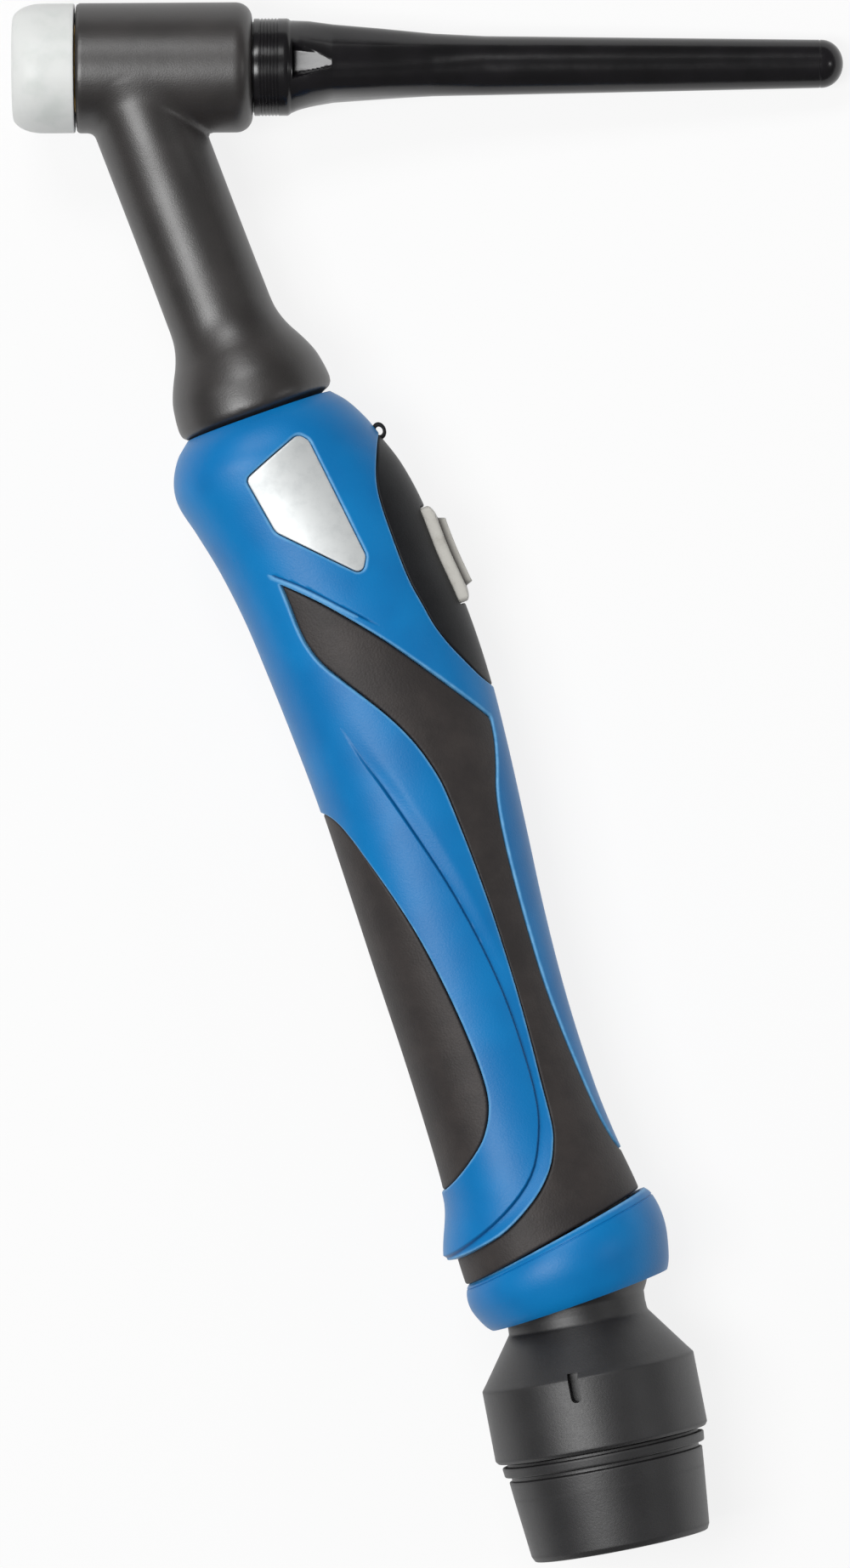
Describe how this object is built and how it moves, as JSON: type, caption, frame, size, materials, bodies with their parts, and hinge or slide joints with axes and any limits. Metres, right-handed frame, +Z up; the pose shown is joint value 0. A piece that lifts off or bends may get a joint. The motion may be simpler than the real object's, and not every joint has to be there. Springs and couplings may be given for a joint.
{
  "type": "TIG welding torch",
  "caption": "Water-cooled TIG torch with a two-component handle, trigger, long back cap and a swivelling ball joint for the hose package.",
  "frame": {"origin": "bottom centre of the bounding box, on the surface that the torch lies on", "axes": "+Z up, away from the surface; +Y along the handle towards the head; +X along the back cap"},
  "size_m": [0.1514, 0.2846, 0.0398],
  "materials": {
    "blue_plastic": "satin",
    "soft_grip": "matte",
    "silicone": "matte",
    "white_gasket": "satin",
    "black_cap": "gloss",
    "black_plastic": "satin",
    "grey_plastic": "satin",
    "badge": "brushed",
    "brass": "machined",
    "copper": "drawn",
    "steel": "machined",
    "black_rubber": "matte"
  },
  "bodies": {
    "torch": {"head_insulation": "silicone", "torch_head_body": "brass", "cup_gasket": "white_gasket", "gas_tube": "copper", "gas_hose_tail": "brass", "water_inlet_tube": "copper", "water_inlet_hose_tail": "brass", "power_return_tube": "copper", "power_return_hose_tail": "brass", "tube_clamp": "black_plastic", "handle_shell_right": "blue_plastic", "upper_grip_right": "soft_grip", "lower_grip_right": "soft_grip", "badge_right": "badge", "handle_shell_left": "blue_plastic", "upper_grip_left": "soft_grip", "lower_grip_left": "soft_grip", "badge_left": "badge", "shell_screw_upper": "steel", "shell_screw_lower": "steel", "switch_module": "soft_grip", "microswitch_body": "black_plastic", "switch_terminal_1": "brass", "switch_terminal_2": "brass", "locking_collar": "blue_plastic"},
    "cap_ring": {"back_cap_o_ring": "black_rubber"},
    "cap": {"back_cap": "black_cap"},
    "button": {"trigger_button": "grey_plastic"},
    "plunger": {"microswitch_plunger": "grey_plastic"},
    "ball_seat": {"ball_seat_ring": "grey_plastic"},
    "knuckle": {"knuckle_ball_cup": "black_plastic"},
    "sleeve": {"hose_sleeve": "black_plastic"}
  },
  "joints": [
    {"name": "cap_travel", "type": "slide", "parent": "torch", "child": "cap_ring", "axis": [0.9957, -0.0023, -0.093], "range_m": [0, 0.00635]},
    {"name": "cap_turn", "type": "hinge", "parent": "cap_ring", "child": "cap", "pos_m": [-0.02912, 0.13036, 0.01377], "axis": [0.9957, -0.0023, -0.093], "range_deg": [0, 1800]},
    {"name": "button_press", "type": "slide", "parent": "torch", "child": "button", "axis": [-0.9398, -0.3255, 0.1037], "range_m": [0, 0.0015], "stiffness_N_per_m": 600, "springref_m": -0.0015},
    {"name": "plunger_travel", "type": "slide", "parent": "torch", "child": "plunger", "axis": [-0.9398, -0.3255, 0.1037], "range_m": [0, 0.0015]},
    {"name": "knuckle_swivel", "type": "hinge", "parent": "torch", "child": "ball_seat", "pos_m": [0.02478, -0.0876, 0.01932], "axis": [0.3287, -0.9443, 0.0151], "continuous": true},
    {"name": "knuckle_tilt", "type": "hinge", "parent": "ball_seat", "child": "knuckle", "pos_m": [0.02478, -0.0876, 0.01932], "axis": [0.093, 0.0483, 0.9945], "range_deg": [-5.5, 22.5]},
    {"name": "sleeve_turn", "type": "hinge", "parent": "knuckle", "child": "sleeve", "pos_m": [0.02478, -0.0876, 0.01932], "axis": [0.1862, -0.982, 0.0303], "continuous": true}
  ],
  "couplings": [
    {"joint": "cap_travel", "follows": "cap_turn", "m_per_rad": 0.00020213},
    {"joint": "plunger_travel", "follows": "button_press", "ratio": 1}
  ]
}
